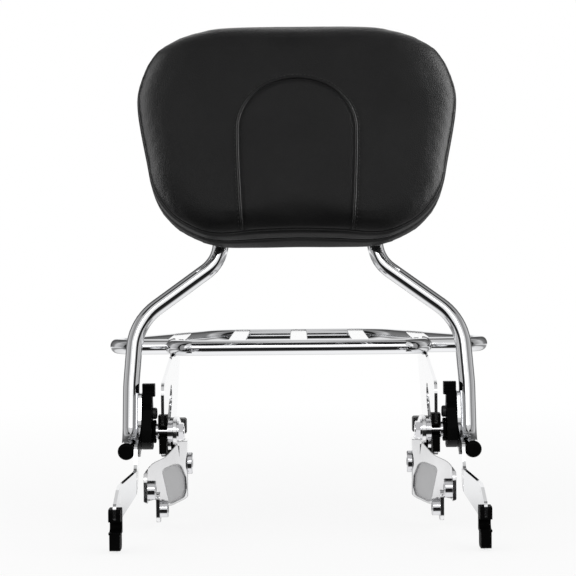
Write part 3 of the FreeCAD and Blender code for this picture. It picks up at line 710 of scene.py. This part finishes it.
def blow_up(piece):
    """Cloth with a little pressure, as stretched vinyl over foam, with a cap on the movement."""
    modify(piece, "REMESH", mode="VOXEL", voxel_size=VOXEL * MM, use_smooth_shade=True)
    start = [v.co.copy() for v in piece.data.vertices]
    held = piece.vertex_groups.new(name="held")
    for vertex in piece.data.vertices:
        forward = pad_coordinates(vertex.co)[2]
        if forward < HELD_FORWARD:
            held.add([vertex.index], 1.0, "REPLACE")
    cloth = piece.modifiers.new("Cloth", "CLOTH")
    cloth.settings.quality = 6
    cloth.settings.mass = 0.4
    cloth.settings.tension_stiffness = CLOTH_STIFFNESS
    cloth.settings.compression_stiffness = CLOTH_STIFFNESS
    cloth.settings.bending_stiffness = 4
    cloth.settings.use_pressure = True
    cloth.settings.uniform_pressure_force = CLOTH_PRESSURE
    cloth.settings.vertex_group_mass = "held"
    cloth.settings.effector_weights.gravity = 0.0
    cloth.collision_settings.use_collision = False
    cloth.point_cache.frame_start = 1
    cloth.point_cache.frame_end = CLOTH_FRAMES
    scene = bpy.context.scene
    for number in range(1, CLOTH_FRAMES + 1):
        scene.frame_set(number)
    graph = bpy.context.evaluated_depsgraph_get()
    done = bpy.data.meshes.new_from_object(piece.evaluated_get(graph))
    piece.modifiers.clear()
    scene.frame_set(1)
    start = np.array(start)
    moves = evened(done, np.array([v.co for v in done.vertices]) - start)
    lengths = np.linalg.norm(moves, axis=1)
    moves *= np.minimum(1.0, PUFF_LIMIT * MM / np.maximum(lengths, 1e-9))[:, None]
    done.vertices.foreach_set("co", (start + moves).ravel())
    done.update()
    piece.data = done


def arch_line(offset, count=150):
    """Inverted U on the face: (across, height) pairs from foot to foot."""
    half = []
    steps = count // 2
    for step in range(steps + 1):
        part = step / steps
        if part < ARCH_LEG_SHARE:
            climb = part / ARCH_LEG_SHARE
            height = ARCH_FOOT_H + (ARCH_SHOULDER_H - ARCH_FOOT_H) * climb
            wide = ARCH_FOOT_HALF + (ARCH_HALF - ARCH_FOOT_HALF) * math.sin(climb * math.pi / 2)
            half.append((wide - offset, height))
        else:
            turn = (part - ARCH_LEG_SHARE) / (1 - ARCH_LEG_SHARE) * math.pi / 2
            rise = ARCH_TOP_H - ARCH_SHOULDER_H - offset
            half.append(((ARCH_HALF - offset) * math.cos(turn), ARCH_SHOULDER_H + rise * math.sin(turn)))
    return half + [(-x, h) for x, h in reversed(half[:-1])]


def carve(piece, lines, width, depth):
    """Press soft valleys into the face along (across, height) lines."""
    piece.data.update()
    moves = []
    for vertex in piece.data.vertices:
        x, height, forward = pad_coordinates(vertex.co)
        if forward < SEAM_FORWARD + FACE_START:
            continue
        near = min(math.hypot(x - a, height - b) for line in lines for a, b in line)
        if near < width:
            fall = math.cos(near / width * math.pi / 2) ** 2
            moves.append((vertex, vertex.normal * (-depth * fall * MM)))
    for vertex, move in moves:
        vertex.co += move


def carve_band(piece, level, width, depth):
    """Press a soft valley into the side band at a distance in front of the back."""
    piece.data.update()
    for vertex in piece.data.vertices:
        x, height, forward = pad_coordinates(vertex.co)
        near = abs(forward - level)
        inner = math.hypot(x, height - PAD_MIDDLE_H)
        if near < width and inner > SIDE_REACH:
            fall = math.cos(near / width * math.pi / 2) ** 2
            vertex.co -= vertex.normal * (depth * fall * MM)


def surface_path(piece, places, lift):
    """Drop (across, height) points onto the face of the pad from the front."""
    lean = math.radians(LEAN_DEG)
    inward = Vector((0, math.cos(lean), -math.sin(lean)))
    path = []
    for x, height in places:
        start = leaning(x, height, PAD_BACK + LOOK_FROM_FRONT)
        hit, place, normal, _ = piece.ray_cast(start, inward)
        if hit:
            path.append(place + normal * (lift * MM))
    return path


def ring_path(piece, inset, forward, lift, count=260):
    """Drop points onto the side of the pad from outside, all round."""
    path = []
    for target in pad_line(inset, forward, count):
        centre = leaning(0, PAD_MIDDLE_H, PAD_BACK + pad_coordinates(target)[2])
        outward = (target - centre).normalized()
        hit, place, normal, _ = piece.ray_cast(target + outward * (LOOK_FROM_SIDE * MM), -outward)
        if hit:
            path.append(place + normal * (lift * MM))
    return path


def stitches(name, path, material):
    """Row of short thread stitches along a path."""
    sides = STITCH_SIDES
    verts = []
    faces = []
    travelled = 0.0
    wanted = 0.0
    for a, b in zip(path, path[1:]):
        step = (b - a).length
        while wanted <= travelled + step:
            place = a.lerp(b, (wanted - travelled) / step)
            along = (b - a).normalized()
            across = along.orthogonal().normalized()
            up = along.cross(across)
            first = len(verts)
            for end, size in STITCH_PROFILE:
                for k in range(sides):
                    angle = 2 * math.pi * k / sides
                    round_part = across * math.cos(angle) + up * math.sin(angle)
                    centre = place + along * (end * STITCH_LENGTH * MM)
                    verts.append(centre + round_part * (STITCH_R * size * MM))
            last_ring = len(STITCH_PROFILE) - 1
            for ring in range(last_ring):
                for k in range(sides):
                    a0 = first + ring * sides + k
                    b0 = first + ring * sides + (k + 1) % sides
                    faces.append((a0, b0, b0 + sides, a0 + sides))
            faces.append(tuple(first + k for k in range(sides - 1, -1, -1)))
            faces.append(tuple(first + last_ring * sides + k for k in range(sides)))
            wanted += STITCH_PITCH * MM
        travelled += step
    return finish_piece(add_mesh(name, verts, faces), material)


def piping(name, piece, forward, shape, material):
    """Cord that lies in a seam of the pad's side, all round."""
    inset, lift, radius = shape
    path = ring_path(piece, inset, forward, lift)
    finish_piece(tube_mesh(name, [path], radius * MM, closed=True), material)


def make_pad(materials):
    """Cover of the pad with its carved seams, and the piping, fold and stitches on it."""
    piece = pad_form()
    blow_up(piece)
    modify(piece, "SUBSURF", levels=1, render_levels=1)
    piece.data.polygons.foreach_set("use_smooth", [True] * len(piece.data.polygons))
    outer = arch_line(0.0)
    inner = arch_line(BAND_W)
    carve(piece, [outer], *ARCH_OUTER_VALLEY)
    carve(piece, [inner], *ARCH_INNER_VALLEY)
    carve_band(piece, SEAM_FORWARD, *FACE_SEAM_VALLEY)
    carve_band(piece, MID_SEAM_FORWARD, *SIDE_SEAM_VALLEY)
    finish_piece(piece, materials["vinyl"])
    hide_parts("pad_cushion")
    bpy.context.view_layer.update()

    piping("pad_face_piping", piece, SEAM_FORWARD, FACE_PIPING, materials["vinyl"])
    piping("pad_side_piping", piece, MID_SEAM_FORWARD, SIDE_PIPING, materials["vinyl"])
    rib = surface_path(piece, arch_line(RIB_OFFSET), RIB_LIFT)
    finish_piece(tube_mesh("pad_arch_fold", [rib], RIB_R * MM), materials["vinyl"])
    stitches("pad_arch_stitches", surface_path(piece, outer, STITCH_LIFT), materials["thread"])


# Welds

def bead(part):
    """Ripples of a weld, thinner at both ends."""
    ends = min(1.0, 8 * part + BEAD_END, 8 * (1 - part) + BEAD_END)
    return ends * (1 + BEAD_WAVE * math.sin(part * 2 * math.pi * BEAD_RIPPLES))


def weld_beads(name, paths, radius, materials):
    piece = tube_mesh(name, paths, radius * MM, sides=8, taper=bead)
    return finish_piece(piece, materials["weld"])


def even_run(start, end, count=46):
    return [start.lerp(end, step / (count - 1)) for step in range(count)]


def seam_on(tube, start, end, toward):
    """Line where a flat bar's top meets a tube, found by looking along the bar."""
    path = []
    for place in even_run(start, end):
        hit, found, _, _ = tube.ray_cast(place, toward)
        if hit:
            path.append(found)
    return path


def slat_welds(materials):
    """Beads across the slats' ends: on the outer loop behind, and on the hoop or its ends in front."""
    hoop = frame["nodes"]["rack_front_hoop"]
    loop = frame["nodes"]["rack_outer_loop"]
    paths = []
    for number in range(1, 6):
        low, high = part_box("rack_slat_" + str(number))
        middle_y = (low[1] + high[1]) / 2
        top = high[2] + SLAT_BEAD_UP * MM
        left = Vector((low[0] + SLAT_BEAD_IN * MM, middle_y, top))
        right = Vector((high[0] - SLAT_BEAD_IN * MM, middle_y, top))
        paths.append(seam_on(loop, left, right, Vector((0, 1, 0))))
        if number in HOOP_SLATS:
            paths.append(seam_on(hoop, left, right, Vector((0, -1, 0))))
        else:
            front = low[1] - SLAT_BEAD_OUT * MM
            edge = high[2] - SLAT_BEAD_OUT * MM
            paths.append(even_run(Vector((left.x, front, edge)), Vector((right.x, front, edge))))
    weld_beads("rack_slat_welds", paths, SLAT_BEAD_R, materials)


def joint_welds(materials):
    """Rings where the outer loop's ends stand on the hoop, and lines along the side plates' tops."""
    rings = []
    lines = []
    for side in (-1, 1):
        ring = []
        for step in range(73):
            angle = 2 * math.pi * step / 72
            x = HOOP_X + TUBE_R * abs(math.cos(angle)) + BEAD_CLEAR
            y = WING_Y + RING_R * math.cos(angle)
            ring.append(spot(side * x, y, RACK_Z + RING_R * math.sin(angle)))
        rings.append(ring)
        for x in (PLATE_X[0] - BEAD_CLEAR, PLATE_X[1] + BEAD_CLEAR):
            z = RACK_Z - math.sqrt(TUBE_R ** 2 - (x - HOOP_X) ** 2) - BEAD_CLEAR
            lines.append(even_run(spot(side * x, PLATE_BEAD_Y[0], z), spot(side * x, PLATE_BEAD_Y[1], z)))
    weld_beads("rack_joint_welds", rings, RING_BEAD_R, materials)
    weld_beads("rack_plate_welds", lines, PLATE_BEAD_R, materials)


def upright_welds(materials):
    """Beads between the side plates and the feet, and round the tubes at the edges of the straps."""
    feet = []
    straps = []
    for side in (-1, 1):
        x = side * (SIDE_PLATE_FACE_X + FOOT_BEAD_OUT)
        for offset in (-FOOT_BEAD_HALF, FOOT_BEAD_HALF):
            z = FOOT_Z + offset
            feet.append(even_run(spot(x, FOOT_BEAD_Y[0], z), spot(x, FOOT_BEAD_Y[1], z)))
            feet.append(even_run(leaning(x, LEG_BEAD_H[0], -offset), leaning(x, LEG_BEAD_H[1], -offset)))
        for middle in STRAP_HEIGHTS:
            for edge in (-STRAP_W / 2 - BEAD_CLEAR, STRAP_W / 2 + BEAD_CLEAR):
                arc = []
                for step in range(31):
                    angle = math.radians(-STRAP_ARC_DEG + 2 * STRAP_ARC_DEG * step / 30)
                    across = side * NECK_X + STRAP_ARC_R * math.sin(angle)
                    arc.append(leaning(across, middle + edge, STRAP_ARC_R * math.cos(angle)))
                straps.append(arc)
    weld_beads("side_plate_welds", feet, FOOT_BEAD_R, materials)
    weld_beads("strap_welds", straps, STRAP_BEAD_R, materials)


# Camera, light and floor

def make_camera():
    camera_data = bpy.data.cameras.new("camera")
    camera_data.sensor_width = 36.0
    camera_data.lens = CAMERA_LENS
    camera_data.clip_end = 50
    camera = bpy.data.objects.new("camera", camera_data)
    camera.location = spot(*CAMERA_PLACE)
    pitch = math.radians(90 - CAMERA_DOWN_DEG)
    aside = math.radians(CAMERA_ASIDE_DEG)
    roll = math.radians(CAMERA_ROLL_DEG)
    camera.matrix_world = (Matrix.Translation(camera.location) @ Matrix.Rotation(aside, 4, "Z")
                           @ Matrix.Rotation(pitch, 4, "X") @ Matrix.Rotation(-roll, 4, "Z"))
    bpy.context.scene.collection.objects.link(camera)
    bpy.context.scene.camera = camera


def area_light(name, place, target, size, power):
    data = bpy.data.lights.new(name, "AREA")
    data.shape = "RECTANGLE"
    data.size, data.size_y = size
    data.energy = power
    lamp = bpy.data.objects.new(name, data)
    lamp.location = place
    lamp.rotation_euler = (target - place).to_track_quat("-Z", "Y").to_euler()
    lamp.visible_camera = False
    bpy.context.scene.collection.objects.link(lamp)
    return lamp


def make_lights():
    """Soft boxes. Three of them light the upholstery only, so that they leave no streaks in the chrome."""
    upholstery = bpy.data.collections.new("upholstery")
    for piece in bpy.context.scene.objects:
        if piece.name.startswith("pad_"):
            upholstery.objects.link(piece)
    for name, place, target, size, power, pad_only in LAMPS:
        lamp = area_light(name, spot(*place), spot(*target), size, power)
        if pad_only:
            lamp.light_linking.receiver_collection = upholstery


def room_colour(nodes, links):
    """Bright room with a few dark flags round it, which draw the chrome."""
    split = nodes.new("ShaderNodeSeparateXYZ")
    links.new(nodes.new("ShaderNodeTexCoord").outputs["Generated"], split.inputs["Vector"])
    height = ranged(nodes, links, split.outputs["Z"], 0.0, 1.0, -1.0, 1.0)
    before = studio_ramp(nodes, links, height, ROOM_FRONT)
    behind = studio_ramp(nodes, links, height, ROOM_REST)
    facing = ranged(nodes, links, split.outputs["Y"], 0.0, 1.0, *ROOM_BLEND)
    rise = mixed_colour(nodes, links, "MIX", behind, before, facing)
    turn = nodes.new("ShaderNodeMath")
    turn.operation = "ARCTAN2"
    links.new(split.outputs["X"], turn.inputs[0])
    links.new(split.outputs["Y"], turn.inputs[1])
    around = ranged(nodes, links, turn.outputs["Value"], 0.0, 1.0, -math.pi, math.pi)
    other_half = [(1 - place, level) for place, level in reversed(FLAGS[:-1])]
    standing = studio_ramp(nodes, links, around, FLAGS + other_half)
    above = ranged(nodes, links, height, 0.0, 1.0, *FLAG_HEIGHTS)
    flags = mixed_colour(nodes, links, "MIX", None, standing, above)
    return mixed_colour(nodes, links, "MULTIPLY", rise, flags)


def white_light(nodes, strength):
    light = nodes.new("ShaderNodeBackground")
    light.inputs["Color"].default_value = (1, 1, 1, 1)
    light.inputs["Strength"].default_value = strength
    return light


def mixed_shader(nodes, links, factor, first, second):
    mix = nodes.new("ShaderNodeMixShader")
    links.new(factor, mix.inputs["Fac"])
    links.new(first, mix.inputs[1])
    links.new(second, mix.inputs[2])
    return mix.outputs["Shader"]


def make_world():
    """White studio: the camera sees white, gloss sees the room, and all else gets soft even light."""
    world = bpy.data.worlds.new("studio")
    bpy.context.scene.world = world
    world.use_nodes = True
    nodes = world.node_tree.nodes
    links = world.node_tree.links
    nodes.clear()
    rays = nodes.new("ShaderNodeLightPath")
    soft = white_light(nodes, SOFT_LEVEL)
    white = white_light(nodes, 1.0)
    room = nodes.new("ShaderNodeBackground")
    room.inputs["Strength"].default_value = 1.0
    links.new(room_colour(nodes, links), room.inputs["Color"])
    lit = mixed_shader(nodes, links, rays.outputs["Is Glossy Ray"], soft.outputs[0], room.outputs[0])
    seen = mixed_shader(nodes, links, rays.outputs["Is Camera Ray"], lit, white.outputs[0])
    output = nodes.new("ShaderNodeOutputWorld")
    links.new(seen, output.inputs["Surface"])


def make_floor():
    """Pale floor with the object's soft shadow, which turns into the white background further out."""
    reach = FLOOR_REACH
    low = cad_box[0][2] - FLOOR_GAP * MM
    corners = [(-reach, -reach, low), (reach, -reach, low), (reach, reach, low), (-reach, reach, low)]
    floor = add_mesh("floor", [Vector(c) for c in corners], [(0, 1, 2, 3)], smooth=False)
    material, nodes, links, shader = new_material("pale_floor")
    shader.inputs["Base Color"].default_value = FLOOR_COLOUR
    shader.inputs["Roughness"].default_value = 0.9
    glow = nodes.new("ShaderNodeEmission")
    glow.inputs["Color"].default_value = (1, 1, 1, 1)
    distance = nodes.new("ShaderNodeVectorMath")
    distance.operation = "LENGTH"
    links.new(object_place(nodes), distance.inputs[0])
    share = ranged(nodes, links, distance.outputs["Value"], *FLOOR_SHARES, *FLOOR_FADE)
    rays = nodes.new("ShaderNodeLightPath")
    part = nodes.new("ShaderNodeMath")
    part.operation = "MULTIPLY"
    links.new(share, part.inputs[0])
    links.new(rays.outputs["Is Camera Ray"], part.inputs[1])
    mixed = mixed_shader(nodes, links, part.outputs["Value"], shader.outputs["BSDF"], glow.outputs[0])
    links.new(mixed, nodes["Material Output"].inputs["Surface"])
    floor.data.materials.append(material)
    floor.visible_glossy = False


def main():
    bpy.context.scene.view_settings.view_transform = "Standard"
    materials = make_materials()
    dress_frame(materials)
    make_camera()
    make_world()
    make_floor()
    make_pad(materials)
    make_lights()
    slat_welds(materials)
    joint_welds(materials)
    upright_welds(materials)


main()
